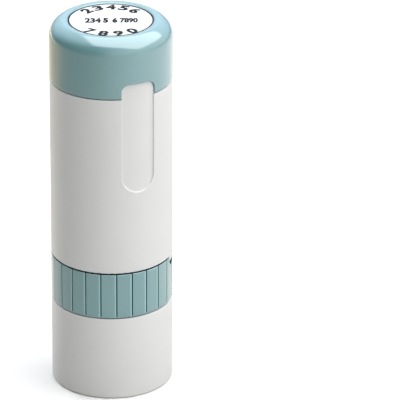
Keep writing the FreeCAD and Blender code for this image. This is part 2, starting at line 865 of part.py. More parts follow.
def make_barrel_bulkhead():
    """Disc pressed into the barrel; it rests on the band frame."""
    return disc(barrel_bore, frame_disc_top, frame_disc_top + bulkhead_thickness)


def make_top_cap():
    """Domed cap with a sunk seat for the label and a notch that fits the barrel's key."""
    shoulder_bottom = cap_top - shoulder_rise
    flat_radius = cap_radius - shoulder_run
    slope = edge_radius * (1 - math.sin(math.pi / 4))
    edges = [
        line((0, cap_bottom), (cap_radius - edge_radius, cap_bottom)),
        corner(
            (cap_radius - edge_radius, cap_bottom), (cap_radius - slope, cap_bottom + slope),
            (cap_radius, cap_bottom + edge_radius),
        ),
        line((cap_radius, cap_bottom + edge_radius), (cap_radius, shoulder_bottom)),
        shoulder(flat_radius, shoulder_bottom, shoulder_run, shoulder_rise),
        line((flat_radius, cap_top), (0, cap_top)),
        line((0, cap_top), (0, cap_bottom)),
    ]
    shell = turned(edges)
    roof = label_seat - cap_roof
    inner_flat = cap_bore - inner_shoulder_run
    inner_bottom = roof - inner_shoulder_rise
    hollow = turned([
        line((0, cap_bottom - overrun), (cap_bore, cap_bottom - overrun)),
        line((cap_bore, cap_bottom - overrun), (cap_bore, inner_bottom)),
        shoulder(inner_flat, inner_bottom, inner_shoulder_run, inner_shoulder_rise),
        line((inner_flat, roof), (0, roof)),
        line((0, roof), (0, cap_bottom - overrun)),
    ])
    stop = tube(cap_bore + snug_gap, cap_bore - cap_stop_wall, neck_top, neck_top + cap_stop_height)
    seat = disc(label_radius + label_edge_gap, label_seat, cap_top + overrun)
    notch = radial_window(
        panel_angle, panel_width / 2 + notch_side_gap, cap_bottom - overrun, tongue_top + notch_side_gap,
        0, cap_notch_corner,
    )
    return shell.cut([hollow, seat, notch]).fuse(stop).removeSplitter()


def make_index_label():
    """Thin printed disc in the cap's seat."""
    return disc(label_radius, label_seat, label_seat + label_thickness)


nodes = {
    "dust_cover": make_dust_cover(),
    "cover_seal": make_cover_seal(),
    "die_collar": make_collar(),
    "collar_spring": make_collar_spring(),
    "chassis": make_chassis(),
    "ring_clip": make_ring_clip(),
    "die_mount": make_die_mount(),
    "ink_pads": make_ink_pads(),
    "message_die": make_message_die(),
    "ink_plugs": make_ink_plugs(),
    "band_frame": make_band_frame(),
    "frame_screws": make_frame_screws(),
    "frame_oring": make_frame_oring(),
    "print_bar": make_print_bar(),
    "month_band": make_band(-date_drum_start - band_side_gap - date_band_width, date_band_width),
    "tens_band": make_band(-day_drum_start - band_side_gap - day_band_width, day_band_width),
    "units_band": make_band(day_drum_start + band_side_gap, day_band_width),
    "year_band": make_band(date_drum_start + band_side_gap, date_band_width),
    "band_felts": make_band_felts(),
    "month_wheel": make_wheel(-1, date_drum_start, date_drum_width, axle_radius + wheel_bore_gap),
    "tens_wheel": make_wheel(-1, day_drum_start, day_drum_width, axle_radius + wheel_bore_gap),
    "units_wheel": make_wheel(1, day_drum_start, day_drum_width, axle_radius),
    "year_wheel": make_wheel(1, date_drum_start, date_drum_width, axle_radius + wheel_bore_gap),
    "wheel_axle": make_wheel_axle(),
    "drive_pinion": make_drive_pinion(),
    "date_ring": make_date_ring(),
    "crown_gear": make_crown_gear(),
    "index_pointer": make_index_pointer(),
    "barrel": make_barrel(),
    "barrel_bulkhead": make_barrel_bulkhead(),
    "top_cap": make_top_cap(),
    "index_label": make_index_label(),
}

for name, shape in nodes.items():
    shape.exportStep("parts/" + name + ".step")
    print(name, len(shape.Solids), "solid, valid", shape.isValid(), round(shape.Volume, 1), "mm3")
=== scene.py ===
# %% [markdown]
# # A round date stamp, dressed for its portrait
# The stamp stands upright on its dust cover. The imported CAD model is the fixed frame: every
# piece made here sits at the place that the frame gives and moves with one of its bodies.
# The frame has to be loaded first, because the sizes below are read from it where they can be.

# %% Load the frame
import json
import math

import bmesh
import bpy
from mathutils import Matrix, Vector


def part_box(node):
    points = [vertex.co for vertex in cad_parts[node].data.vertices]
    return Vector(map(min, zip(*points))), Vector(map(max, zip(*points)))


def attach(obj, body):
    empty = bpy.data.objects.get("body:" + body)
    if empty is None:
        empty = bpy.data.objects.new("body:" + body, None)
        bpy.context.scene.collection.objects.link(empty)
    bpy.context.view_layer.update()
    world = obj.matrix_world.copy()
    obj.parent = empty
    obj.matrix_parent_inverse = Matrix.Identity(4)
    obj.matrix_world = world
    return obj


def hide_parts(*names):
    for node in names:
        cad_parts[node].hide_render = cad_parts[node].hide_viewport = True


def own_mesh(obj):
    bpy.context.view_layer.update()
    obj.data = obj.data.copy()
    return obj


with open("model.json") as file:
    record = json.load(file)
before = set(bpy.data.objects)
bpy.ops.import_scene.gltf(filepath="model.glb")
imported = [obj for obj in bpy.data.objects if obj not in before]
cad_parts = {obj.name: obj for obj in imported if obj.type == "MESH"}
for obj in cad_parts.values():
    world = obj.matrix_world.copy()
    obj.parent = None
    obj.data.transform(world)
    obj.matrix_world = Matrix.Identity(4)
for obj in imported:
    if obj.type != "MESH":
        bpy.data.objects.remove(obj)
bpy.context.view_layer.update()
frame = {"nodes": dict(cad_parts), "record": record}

nodes = frame["nodes"]
MM = 0.001

# %% [markdown]
# ## Helpers for turned and cut pieces
# Nearly everything outside is turned on one axis, so a piece starts as an outline in the XZ plane.
# Its corners are rounded with a vertex bevel while it is still a line, because rounding a line is
# exact and cheap, and then the line is spun a full turn. Notches and grooves are cut afterwards.

# %% Turn an outline into a piece
TURN_STEPS = 256
MERGE_DISTANCE = 0.0005


def make_object(name, bm):
    """Object at the origin from a bmesh, with outward normals and smooth faces."""
    bmesh.ops.remove_doubles(bm, verts=bm.verts, dist=MERGE_DISTANCE * MM)
    bmesh.ops.recalc_face_normals(bm, faces=bm.faces)
    for face in bm.faces:
        face.smooth = True
    mesh = bpy.data.meshes.new(name)
    bm.to_mesh(mesh)
    bm.free()
    piece = bpy.data.objects.new(name, mesh)
    bpy.context.scene.collection.objects.link(piece)
    return piece


def outline(bm, points, closed, segments=5):
    """Line of edges in the XZ plane through (radius, height, rounding) points in millimetres."""
    verts = [bm.verts.new((radius * MM, 0, height * MM)) for radius, height, rounding in points]
    pairs = list(zip(verts, verts[1:]))
    if closed:
        pairs.append((verts[-1], verts[0]))
    for pair in pairs:
        bm.edges.new(pair)
    for vert, (radius, height, rounding) in zip(verts, points):
        if rounding > 0:
            bmesh.ops.bevel(
                bm, geom=[vert], offset=rounding * MM, offset_type="OFFSET", segments=segments,
                profile=0.5, affect="VERTICES", material=-1, clamp_overlap=False,
            )


def turn(name, points, closed=True, steps=TURN_STEPS, row=0):
    """Piece of revolution about the stamp's axis; row cuts long walls into rows that high."""
    bm = bmesh.new()
    outline(bm, points, closed)
    if row > 0:
        for edge in bm.edges[:]:
            cuts = int(edge.calc_length() / (row * MM))
            if cuts > 0:
                bmesh.ops.subdivide_edges(bm, edges=[edge], cuts=cuts)
    bmesh.ops.spin(
        bm, geom=bm.verts[:] + bm.edges[:], cent=(0, 0, 0), axis=(0, 0, 1), dvec=(0, 0, 0),
        angle=2 * math.pi, steps=steps, use_merge=True, use_duplicate=False,
    )
    return make_object(name, bm)


# %% Cut a piece with another, and join two
def settle(piece):
    """Put what the modifiers make into the mesh, and take them off."""
    bpy.context.view_layer.update()
    graph = bpy.context.evaluated_depsgraph_get()
    mesh = bpy.data.meshes.new_from_object(piece.evaluated_get(graph), depsgraph=graph)
    piece.modifiers.clear()
    old = piece.data
    piece.data = mesh
    bpy.data.meshes.remove(old)
    mesh.name = piece.name


def combine(piece, tool, operation):
    """Boolean of two pieces; the tool is used up."""
    modifier = piece.modifiers.new("combine", "BOOLEAN")
    modifier.operation = operation
    modifier.object = tool
    modifier.solver = "EXACT"
    settle(piece)
    bpy.data.objects.remove(tool)


def sharpen(piece, limit=24):
    """Shade smooth, but for the edges that are sharper than the limit in degrees."""
    bm = bmesh.new()
    bm.from_mesh(piece.data)
    for face in bm.faces:
        face.smooth = True
    for edge in bm.edges:
        edge.smooth = len(edge.link_faces) == 2 and edge.calc_face_angle(0) < math.radians(limit)
    bm.to_mesh(piece.data)
    bm.free()


# %% Prisms that look along one direction from the axis
# A tool passes the surface that it cuts by REACH. A corner's rounding is held just under the full
# half width, so that no edge of no length is left between two corners.
COLUMNS = 24
CORNER_STEPS = 24
NEARLY_FULL = 0.9999
CUT_TOLERANCE = 0.001
REACH = 1.0
RIM_SET_IN = 0.05
RIM_SET_OUT = 0.07
RIM_START = 0.08
RIM_FLARE = 0.32


def facing(angle):
    """Turn about the axis that brings the front, -Y, round to an angle in degrees."""
    return Matrix.Rotation(math.radians(angle), 4, "Z")


def window_sheet(bm, half_width, bottom, top, bottom_round, top_round):
    """Flat sheet in the XY plane with rounded corners, cut into upright columns."""
    bmesh.ops.create_grid(bm, x_segments=1, y_segments=1, size=0.5)
    bmesh.ops.scale(bm, vec=(2 * half_width * MM, (top - bottom) * MM, 1), verts=bm.verts)
    middle = (bottom + top) / 2 * MM
    bmesh.ops.translate(bm, vec=(0, middle, 0), verts=bm.verts)
    for low, rounding in ((True, bottom_round), (False, top_round)):
        corners = [vert for vert in bm.verts if (vert.co.y < middle) == low]
        if rounding > 0:
            bmesh.ops.bevel(
                bm, geom=corners, offset=rounding * MM * NEARLY_FULL, offset_type="OFFSET",
                segments=CORNER_STEPS, profile=0.5, affect="VERTICES", material=-1, clamp_overlap=False,
            )
    bmesh.ops.remove_doubles(bm, verts=bm.verts, dist=0.01 * MM)
    for column in range(1, COLUMNS):
        across = half_width * MM * (2 * column / COLUMNS - 1)
        bmesh.ops.bisect_plane(
            bm, geom=bm.verts[:] + bm.edges[:] + bm.faces[:], dist=CUT_TOLERANCE * MM,
            plane_co=(across, 0, 0), plane_no=(1, 0, 0),
        )


def outward_way(vert):
    """Direction in which a rim vertex of a flat sheet moves when the sheet is set out."""
    normals = []
    for edge in vert.link_edges:
        if edge.is_boundary:
            along = edge.verts[1].co - edge.verts[0].co
            normal = Vector((along.y, -along.x, 0)).normalized()
            inside = edge.link_faces[0].calc_center_median()
            normals.append(normal if normal.dot(edge.verts[0].co - inside) > 0 else -normal)
    way = sum(normals, Vector()).normalized()
    return way / way.dot(normals[0])


def window(name, angle, half_width, bottom, top, bottom_round, top_round, levels):
    """Upright window cutter. Each level is (outset, radius): there the outline is set out by the
    first and laid on a cylinder of the second, so that a cut can have a soft rim."""
    bm = bmesh.new()
    window_sheet(bm, half_width, bottom, top, bottom_round, top_round)
    ways = bm.verts.layers.float_vector.new("way")
    radii = bm.verts.layers.float.new("radius")
    for vert in bm.verts:
        vert[ways] = outward_way(vert) if vert.is_boundary else Vector()
        vert[radii] = levels[0][1]
    for vert in bm.verts:
        vert.co += vert[ways] * levels[0][0] * MM
    sheet = bm.verts[:] + bm.edges[:] + bm.faces[:]
    for below, level in zip(levels, levels[1:]):
        sheet = bmesh.ops.extrude_face_region(bm, geom=sheet)["geom"]
        for vert in (item for item in sheet if isinstance(item, bmesh.types.BMVert)):
            vert.co += vert[ways] * (level[0] - below[0]) * MM
            vert[radii] = level[1]
    for vert in bm.verts:
        across, height = vert.co.xy
        vert.co = (across, -math.sqrt((vert[radii] * MM) ** 2 - across ** 2), height)
    bmesh.ops.transform(bm, matrix=facing(angle), verts=bm.verts)
    return make_object(name, bm)


def soft_rim(radius, start):
    """Last levels of a window cutter, which flare out at a surface from so far below it."""
    return [
        (0, radius - start), (RIM_START, radius - RIM_SET_IN), (RIM_FLARE, radius + RIM_SET_OUT),
        (RIM_FLARE, radius + REACH),
    ]


# %% [markdown]
# ## Materials
# The shells are injection-moulded plastic. A flat colour would look like paint on a computer, so
# each plastic gets three layers of noise: a broad one that shifts the colour a hair, a middle one
# that varies the gloss as handling does, and a fine one that raises the spark-eroded mould texture.
# All of them read Object coordinates, so they stay in the piece wherever the camera goes.

# %% Node helpers
def node_material(name):
    material = bpy.data.materials.new(name)
    material.use_nodes = True
    tree = material.node_tree
    shader = tree.nodes["Principled BSDF"]
    place = tree.nodes.new("ShaderNodeTexCoord")
    return material, tree, shader, place.outputs["Object"]


def noise(tree, place, scale, detail=3.0, stretch=(1, 1, 1)):
    """Noise that runs at so many waves a metre; returns its output."""
    mapping = tree.nodes.new("ShaderNodeMapping")
    mapping.inputs["Scale"].default_value = stretch
    tree.links.new(place, mapping.inputs["Vector"])
    texture = tree.nodes.new("ShaderNodeTexNoise")
    texture.inputs["Scale"].default_value = scale
    texture.inputs["Detail"].default_value = detail
    tree.links.new(mapping.outputs["Vector"], texture.inputs["Vector"])
    return texture.outputs["Fac"]


def spread(tree, value, low, high, floor=0.3, ceiling=0.7):
    """Map a noise value to a range; returns the output."""
    ranger = tree.nodes.new("ShaderNodeMapRange")
    ranger.inputs["From Min"].default_value = floor
    ranger.inputs["From Max"].default_value = ceiling
    ranger.inputs["To Min"].default_value = low
    ranger.inputs["To Max"].default_value = high
    tree.links.new(value, ranger.inputs["Value"])
    return ranger.outputs["Result"]


def blend_colours(tree, factor, first, second):
    """Mix two colours, each given as three numbers or as the output of another node."""
    mixer = tree.nodes.new("ShaderNodeMix")
    mixer.data_type = "RGBA"
    for name, colour in (("A", first), ("B", second)):
        if isinstance(colour, tuple):
            mixer.inputs[name].default_value = (*colour, 1)
        else:
            tree.links.new(colour, mixer.inputs[name])
    tree.links.new(factor, mixer.inputs["Factor"])
    return mixer.outputs["Result"]


def raise_surface(tree, shader, height, distance, strength=1.0):
    bump = tree.nodes.new("ShaderNodeBump")
    bump.inputs["Distance"].default_value = distance
    bump.inputs["Strength"].default_value = strength
    tree.links.new(height, bump.inputs["Height"])
    tree.links.new(bump.outputs["Normal"], shader.inputs["Normal"])


def shade(colour, factor):
    return tuple(channel * factor for channel in colour)


def speckled(name, colour, contrast, gloss, colour_scale, grain_scale, grain_depth,
             metallic=0.0, stretch=(1, 1, 1), specular=0.5, sheen=0.0, coat=0.0, detail=3.0):
    """Finish with colour drift, uneven gloss and a raised grain."""
    material, tree, shader, place = node_material(name)
    drift = noise(tree, place, colour_scale, detail, stretch)
    tint = blend_colours(
        tree, spread(tree, drift, 0, 1), shade(colour, 1 - contrast), shade(colour, 1 + contrast),
    )
    tree.links.new(tint, shader.inputs["Base Color"])
    handled = noise(tree, place, colour_scale * 3, detail, stretch)
    tree.links.new(spread(tree, handled, *gloss), shader.inputs["Roughness"])
    grain = noise(tree, place, grain_scale, 2.0, stretch)
    raise_surface(tree, shader, grain, grain_depth)
    shader.inputs["Metallic"].default_value = metallic
    shader.inputs["Specular IOR Level"].default_value = specular
    shader.inputs["Sheen Weight"].default_value = sheen
    shader.inputs["Coat Weight"].default_value = coat
    shader.inputs["Coat Roughness"].default_value = 0.06
    return material


# %% Finishes of the record's slots
TEAL = (0.172, 0.35, 0.366)


def glossy_teal(name):
    """The polished teal of the cap and the ring, under a clear gloss."""
    return speckled(name, TEAL, 0.02, (0.12, 0.16), 60, 2600, 0.000001, specular=1.0, coat=0.85)


FINISHES = {
    "white_shell": speckled("white_shell", (0.78, 0.78, 0.76), 0.012, (0.38, 0.46), 55, 2600, 0.000006),
    "teal_shell": glossy_teal("teal_shell"),
    "label_card": speckled("label_card", (0.9, 0.9, 0.9), 0.01, (0.25, 0.4), 220, 4200, 0.000002),
    "seal_rubber": speckled("seal_rubber", (0.035, 0.035, 0.04), 0.15, (0.55, 0.75), 180, 2400, 0.00002),
    "grey_plastic": speckled("grey_plastic", (0.3, 0.31, 0.33), 0.03, (0.35, 0.5), 80, 2200, 0.00001),
    "dark_plastic": speckled("dark_plastic", (0.03, 0.031, 0.034), 0.12, (0.3, 0.5), 90, 2200, 0.00001),
    "gear_plastic": speckled("gear_plastic", (0.68, 0.66, 0.58), 0.03, (0.3, 0.42), 120, 2400, 0.000008),
    "spring_steel": speckled(
        "spring_steel", (0.55, 0.56, 0.58), 0.08, (0.22, 0.4), 260, 3000, 0.000003, metallic=1.0,
    ),
    "axle_steel": speckled(
        "axle_steel", (0.6, 0.6, 0.62), 0.06, (0.15, 0.32), 900, 5200, 0.000003, metallic=1.0,
        stretch=(3, 0.2, 0.2),
    ),
    "screw_steel": speckled(
        "screw_steel", (0.5, 0.5, 0.52), 0.1, (0.25, 0.42), 700, 4200, 0.000004, metallic=1.0,
    ),
    "ink_foam": speckled(
        "ink_foam", (0.012, 0.02, 0.16), 0.35, (0.6, 0.9), 900, 1500, 0.00012, detail=6.0, sheen=0.2,
    ),
    "ink_felt": speckled(
        "ink_felt", (0.015, 0.025, 0.2), 0.4, (0.8, 0.95), 1400, 2600, 0.00008, detail=8.0, sheen=0.6,
    ),
    "die_rubber": speckled("die_rubber", (0.28, 0.05, 0.045), 0.12, (0.45, 0.65), 200, 2600, 0.00002),
    "band_rubber": speckled("band_rubber", (0.34, 0.07, 0.055), 0.15, (0.5, 0.7), 240, 2600, 0.00002),
    "wheel_plastic": speckled("wheel_plastic", (0.035, 0.035, 0.038), 0.1, (0.3, 0.45), 140, 2400, 0.00001),
    "oring_rubber": speckled("oring_rubber", (0.02, 0.02, 0.02), 0.2, (0.35, 0.5), 260, 2600, 0.00001),
}
print("finishes:", len(FINISHES))

# %% Give every CAD node its finish
for part in frame["record"]["subparts"]:
    slots = nodes[part["node"]].data.materials
    for index in range(len(slots)):
        slots[index] = FINISHES[part["material_slot"]]


def dress(piece, body, slot, *replaced, finish=None):
    """Finish a piece, put it on its body and hide the CAD nodes that it stands for."""
    piece.data.materials.clear()
    piece.data.materials.append(finish or FINISHES[slot])
    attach(piece, body)
    if replaced:
        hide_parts(*replaced)
    print(piece.name, "has", len(piece.data.polygons), "faces")


# %% [markdown]
# ## The outside radii and heights
# They are read from the frame's boxes, so that the shells made here are the size of the solids
# that they stand for. What a box can't give, such as the depth of a groove, is named by its piece.

# %% Read the main sizes
def top_of(node):
    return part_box(node)[1].z / MM


def bottom_of(node):
    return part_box(node)[0].z / MM


def radius_of(node):
    return round(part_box(node)[1].y / MM, 2)


BODY_RADIUS = radius_of("barrel")
CAP_RADIUS = radius_of("top_cap")
PANEL_ANGLE = 26.6
PANEL_WIDTH = 11.43
print("body radius", BODY_RADIUS, "mm, cap radius", CAP_RADIUS, "mm")

# %% [markdown]
# ## Dust cover
# A plain deep cup in the white plastic. Its foot is rounded more than its mouth, and its floor
# is hollowed below by a hair so that it stands on a ring, as moulded cups do. Where two shells
# meet, a thin rim stands in front of a step: the step lies in shadow and draws the dark line.
# The lower shell also stops 0.14 mm short, which makes that line wide enough.

# %% Dust cover
PARTING = 0.14
COVER_TOP = top_of("dust_cover") - PARTING
COVER_BORE = 18.6
COVER_FLOOR = 2.0
FOOT_RECESS = 0.4
RIM_INSIDE = 19.6
RIM_HEIGHT = 0.5

dust_cover = turn("cover_shell", [
    (0, FOOT_RECESS, 0), (BODY_RADIUS - 2.2, FOOT_RECESS, 0.3), (BODY_RADIUS - 1.8, 0, 0.15),
    (BODY_RADIUS, 0, 0.8), (BODY_RADIUS, COVER_TOP, 0.25), (RIM_INSIDE, COVER_TOP, 0.08),
    (RIM_INSIDE, COVER_TOP - RIM_HEIGHT, 0), (COVER_BORE, COVER_TOP - RIM_HEIGHT, 0.2),
    (COVER_BORE, COVER_FLOOR, 0.5), (0, COVER_FLOOR, 0),
], closed=False)
sharpen(dust_cover)
dress(dust_cover, "cover", "white_shell", "dust_cover")

# %% [markdown]
# ## Date ring
# The teal ring is gripped to change the date, so it has flat ribs between upright V grooves.
# One wedge is made and spun into as many copies as there are grooves, then cut away in one go.
# The wedge has a flared lip each side, a wide one on the left, and a slit at its foot. The lips
# draw the light lines and the slit the dark ones, and painted colour helps: by the distance from
# the axis the lips are painted lighter as a painted highlight, and the slits darker as painted shade.

# %% Date ring
RING_BOTTOM = bottom_of("date_ring")
RING_TOP = top_of("date_ring") - PARTING
RING_BORE = 17.85
RING_WIDE_BORE = 18.6
RING_LEDGE_LOW = 30.85
RING_LEDGE_HIGH = 34.75
RING_SEAT_RADIUS = 19.0
GROOVES = 24
GROOVE_HALF = 0.18
GROOVE_DEPTH = 0.5
GROOVE_FOOT = 0.5
SLIT_WIDTH = 0.2
SLIT_DEPTH = 0.8
FIRST_GROOVE = 4.5
LIGHT_LIP_REACH = 1.0
LIGHT_LIP_DEPTH = 0.09
DARK_LIP_REACH = 0.2
DARK_LIP_DEPTH = 0.05
LIP_RISE = 0.04
RING_RIM_HEIGHT = 0.2
NOTCH_ANGLE = 77.5
NOTCH_WIDTH = 4.4
NOTCH_DEPTH = 3.1
NOTCH_CORNER = 1.9

date_ring = turn("ring_shell", [
    (BODY_RADIUS, RING_BOTTOM, 0.2), (BODY_RADIUS, RING_TOP, 0.2), (RIM_INSIDE, RING_TOP, 0.08),
    (RIM_INSIDE, RING_TOP - RING_RIM_HEIGHT, 0), (RING_WIDE_BORE, RING_TOP - RING_RIM_HEIGHT, 0.1),
    (RING_WIDE_BORE, RING_LEDGE_HIGH, 0), (RING_BORE, RING_LEDGE_HIGH, 0.1),
    (RING_BORE, RING_LEDGE_LOW, 0.1), (RING_SEAT_RADIUS, RING_LEDGE_LOW, 0),
    (RING_SEAT_RADIUS, RING_BOTTOM, 0.1),
], row=2.0)


def groove_wedges():
    """One V-shaped wedge with flared lips, copied round the ring at the pitch of its grooves."""
    bm = bmesh.new()
    light_end = GROOVE_HALF + LIGHT_LIP_REACH
    dark_end = GROOVE_HALF + DARK_LIP_REACH
    corners = [
        (0, SLIT_DEPTH), (SLIT_WIDTH / 2, GROOVE_DEPTH), (GROOVE_HALF, DARK_LIP_DEPTH),
        (dark_end, -LIP_RISE), (dark_end, -REACH), (-light_end, -REACH), (-light_end, -LIP_RISE),
        (-GROOVE_HALF, LIGHT_LIP_DEPTH), (-SLIT_WIDTH / 2, GROOVE_DEPTH),
    ]
    verts = [
        bm.verts.new((across * MM, (depth - BODY_RADIUS) * MM, (RING_BOTTOM + GROOVE_FOOT) * MM))
        for across, depth in corners
    ]
    made = bmesh.ops.extrude_face_region(bm, geom=[bm.faces.new(verts)], use_keep_orig=True)
    moved = [item for item in made["geom"] if isinstance(item, bmesh.types.BMVert)]
    bmesh.ops.translate(bm, vec=(0, 0, (RING_TOP - RING_BOTTOM + REACH) * MM), verts=moved)
    bmesh.ops.transform(bm, matrix=facing(FIRST_GROOVE), verts=bm.verts)
    bmesh.ops.spin(
        bm, geom=bm.verts[:] + bm.edges[:] + bm.faces[:], cent=(0, 0, 0), axis=(0, 0, 1),
        dvec=(0, 0, 0), angle=2 * math.pi * (GROOVES - 1) / GROOVES, steps=GROOVES - 1,
        use_merge=False, use_duplicate=True,
    )
    return make_object("groove_wedges", bm)


combine(date_ring, groove_wedges(), "DIFFERENCE")
combine(date_ring, window(
    "ring_notch", NOTCH_ANGLE, NOTCH_WIDTH / 2, RING_TOP - NOTCH_DEPTH, RING_TOP + 3, NOTCH_CORNER, 0,
    [(0, RING_BORE - REACH), (0, BODY_RADIUS + REACH)],
), "DIFFERENCE")
sharpen(date_ring)


def between(tree, radius, inner, outer):
    """One between two radii and nothing beyond, each given as where the change starts and ends."""
    inside = spread(tree, radius, 0, 1, inner[0] * MM, inner[1] * MM)
    outside = spread(tree, radius, 1, 0, outer[0] * MM, outer[1] * MM)
    both = tree.nodes.new("ShaderNodeMath")
    both.operation = "MULTIPLY"
    tree.links.new(inside, both.inputs[0])
    tree.links.new(outside, both.inputs[1])
    return both.outputs["Value"]


def tint_by_radius(material, bands):
    """Lay colours over a finish, each in a band of radii about the axis."""
    tree = material.node_tree
    shader = tree.nodes["Principled BSDF"]
    place = tree.nodes.new("ShaderNodeTexCoord")
    level = tree.nodes.new("ShaderNodeVectorMath")
    level.operation = "MULTIPLY"
    level.inputs[1].default_value = (1, 1, 0)
    radius = tree.nodes.new("ShaderNodeVectorMath")
    radius.operation = "LENGTH"
    tree.links.new(place.outputs["Object"], level.inputs[0])
    tree.links.new(level.outputs["Vector"], radius.inputs[0])
    colour = shader.inputs["Base Color"].links[0].from_socket
    for inner, outer, tint in bands:
        colour = blend_colours(tree, between(tree, radius.outputs["Value"], inner, outer), colour, tint)
    tree.links.new(colour, shader.inputs["Base Color"])


# Painted highlight: the lips get a lighter teal. Painted shade: the slits get a near-black teal.
LIP_HIGHLIGHT_TINT = 1.5
SLIT_SHADE_TINT = 0.1
ring_finish = glossy_teal("ribbed_teal")
tint_by_radius(ring_finish, [
    ((19.9, 19.93), (19.98, 19.992), shade(TEAL, LIP_HIGHLIGHT_TINT)),
    ((18.7, 18.9), (19.86, 19.905), shade(TEAL, SLIT_SHADE_TINT)),
])
dress(date_ring, "ring", "teal_shell", "date_ring", finish=ring_finish)

# %% [markdown]
# ## Barrel
# The white grip has a sunk panel that runs up into a tongue, the key for the cap's notch. In the
# mould the panel and the tongue are one face, so both are cut by the same tool: a long window
# with a round foot, taken away outside the panel's own radius.

# %% Barrel
BARREL_BOTTOM = bottom_of("barrel") + PARTING
BARREL_TOP = 107.0 - PARTING
BARREL_BORE = 18.2
NECK_RADIUS = 18.85
NECK_FOOT_RADIUS = 18.3
NECK_FOOT = 107.7
NECK_TOP = top_of("barrel")
NECK_BORE = 17.15
NECK_END_WALL = 1.6
PANEL_FLOOR = 19.45
PANEL_BOTTOM = 73.9
PANEL_CORNER = 0.12
PANEL_RIM = 0.18
TONGUE_TOP = 111.6
TONGUE_CORNER = 2.4
TONGUE_ROOT = 0.8

barrel = turn("barrel_shell", [
    (0, NECK_TOP, 0), (NECK_RADIUS, NECK_TOP, 0.4), (NECK_RADIUS, NECK_FOOT, 0),
    (NECK_FOOT_RADIUS, NECK_FOOT, 0), (NECK_FOOT_RADIUS, BARREL_TOP - RIM_HEIGHT, 0.1),
    (RIM_INSIDE, BARREL_TOP - RIM_HEIGHT, 0), (RIM_INSIDE, BARREL_TOP, 0.08),
    (BODY_RADIUS, BARREL_TOP, 0.25), (BODY_RADIUS, BARREL_BOTTOM, 0.2),
    (BARREL_BORE, BARREL_BOTTOM, 0.2), (BARREL_BORE, BARREL_TOP - NECK_END_WALL, 0.3),
    (NECK_BORE, BARREL_TOP - NECK_END_WALL, 0.2), (NECK_BORE, NECK_TOP - NECK_END_WALL, 0.5),
    (0, NECK_TOP - NECK_END_WALL, 0),
], closed=False, row=2.0)
tongue = turn("tongue", [
    (BODY_RADIUS, BARREL_TOP - REACH, 0), (BODY_RADIUS, NECK_TOP - REACH, 0),
    (NECK_RADIUS - TONGUE_ROOT, NECK_TOP - REACH, 0),
    (NECK_RADIUS - TONGUE_ROOT, BARREL_TOP - REACH, 0),
])
combine(tongue, window(
    "tongue_outline", PANEL_ANGLE, PANEL_WIDTH / 2, BARREL_TOP - 5, TONGUE_TOP, 0, TONGUE_CORNER,
    [(0, NECK_RADIUS - 2 * REACH), (0, BODY_RADIUS + REACH)],
), "INTERSECT")
combine(barrel, tongue, "UNION")
combine(barrel, window(
    "panel_tool", PANEL_ANGLE, PANEL_WIDTH / 2, PANEL_BOTTOM, NECK_TOP + 4, PANEL_WIDTH / 2, 0,
    [(-PANEL_CORNER, PANEL_FLOOR), (0, PANEL_FLOOR + PANEL_CORNER), *soft_rim(BODY_RADIUS, PANEL_RIM)],
), "DIFFERENCE")
sharpen(barrel)
dress(barrel, "barrel", "white_shell", "barrel")

# %% [markdown]
# ## Top cap
# The cap is turned in the teal plastic: a straight skirt, a quarter-ellipse shoulder and a sunk
# seat for the label. The shoulder is drawn as an ellipse, because a round one looks too fat
# beside the real one. It ends in a low bead that dips to the label, so that from the front the
# highlight runs right up to the card. The notch for the barrel's tongue is cut last.

# %% Top cap
CAP_BOTTOM = bottom_of("top_cap")
CAP_TOP = 127.5
SHOULDER_RUN = 7.1
SHOULDER_RISE = 6.04
SHOULDER_STEPS = 28
CAP_BORE = 18.95
CAP_ROOF = 124.7
LABEL_SEAT = 126.3
LABEL_RADIUS = 13.92
SEAT_RADIUS = 14.05
SEAT_STEP = 0.06
NOTCH_GAP = 0.2
NOTCH_TOP = 111.8
CAP_NOTCH_CORNER = 2.6
CAP_NOTCH_RIM = 0.16
BEAD_START = 16.3
BEAD = [
    (16.0, 126.90, 0), (15.7, 126.96, 0), (15.4, 126.98, 0), (15.1, 126.965, 0),
    (14.8, 126.92, 0), (14.5, 126.84, 0), (14.2, 126.74, 0), (14.1, 126.69, 0),
]

flat_radius = CAP_RADIUS - SHOULDER_RUN
shoulder = []
for step in range(SHOULDER_STEPS + 1):
    tilt = math.pi / 2 * step / SHOULDER_STEPS
    radius = flat_radius + SHOULDER_RUN * math.cos(tilt)
    height = CAP_TOP - SHOULDER_RISE + SHOULDER_RISE * math.sin(tilt)
    if radius > BEAD_START:
        shoulder.append((radius, height, 0))
top_cap = turn("cap_shell", [
    (CAP_RADIUS, CAP_BOTTOM, 0.15), *shoulder, *BEAD, (SEAT_RADIUS, BEAD[-1][1] - SEAT_STEP, 0),
    (SEAT_RADIUS, LABEL_SEAT, 0), (0, LABEL_SEAT, 0), (0, CAP_ROOF, 0),
    (CAP_BORE - 4, CAP_ROOF, 1.0), (CAP_BORE, CAP_ROOF - 4.2, 2.0), (CAP_BORE, CAP_BOTTOM, 0.2),
], row=2.0)
combine(top_cap, window(
    "cap_notch", PANEL_ANGLE, PANEL_WIDTH / 2 + NOTCH_GAP, CAP_BOTTOM - 2 * REACH, NOTCH_TOP, 0,
    CAP_NOTCH_CORNER, [(0, CAP_BORE - REACH), *soft_rim(CAP_RADIUS, CAP_NOTCH_RIM)],
), "DIFFERENCE")
sharpen(top_cap)
dress(top_cap, "cap", "teal_shell", "top_cap")

# %% [markdown]
# ## Label
# The disc in the cap shows what the stamp prints. It is white card with a thin printed border.
# It carries plain numbers: an arc of them above, an arc below and a row between. Every figure is
# a text object made into a mesh, so that it can be turned and bent to its place.

# %% Figures as meshes
FIGURE_THICKNESS = 0.02
TOP_FIGURES = "23456"
TOP_REACH = 45
FOOT_FIGURES = "7890"
FOOT_REACH = 36


